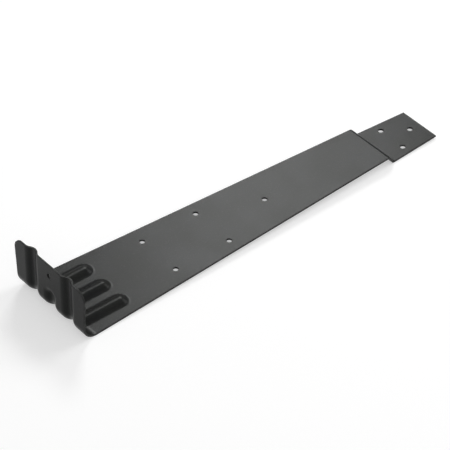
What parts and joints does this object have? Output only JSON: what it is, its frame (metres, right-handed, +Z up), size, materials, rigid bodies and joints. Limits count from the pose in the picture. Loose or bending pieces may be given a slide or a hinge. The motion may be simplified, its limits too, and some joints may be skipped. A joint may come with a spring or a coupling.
{
  "type": "roof snow guard bracket",
  "caption": "Folded sheet-steel snow guard bracket: ribbed upstand across a large-radius fold, long tapered strap and a stepped-down nail tab.",
  "frame": {"origin": "midway between the pair of nail holes in the tab, on the tab's underside", "axes": "+X along the strap, from the upstand towards the tab's end; +Z up, the way the upstand stands; Y across the width"},
  "size_m": [0.343, 0.0788, 0.0507],
  "materials": {
    "bracket": "semi-matte black coating"
  },
  "bodies": {
    "root": {"bracket": "bracket"}
  },
  "joints": []
}
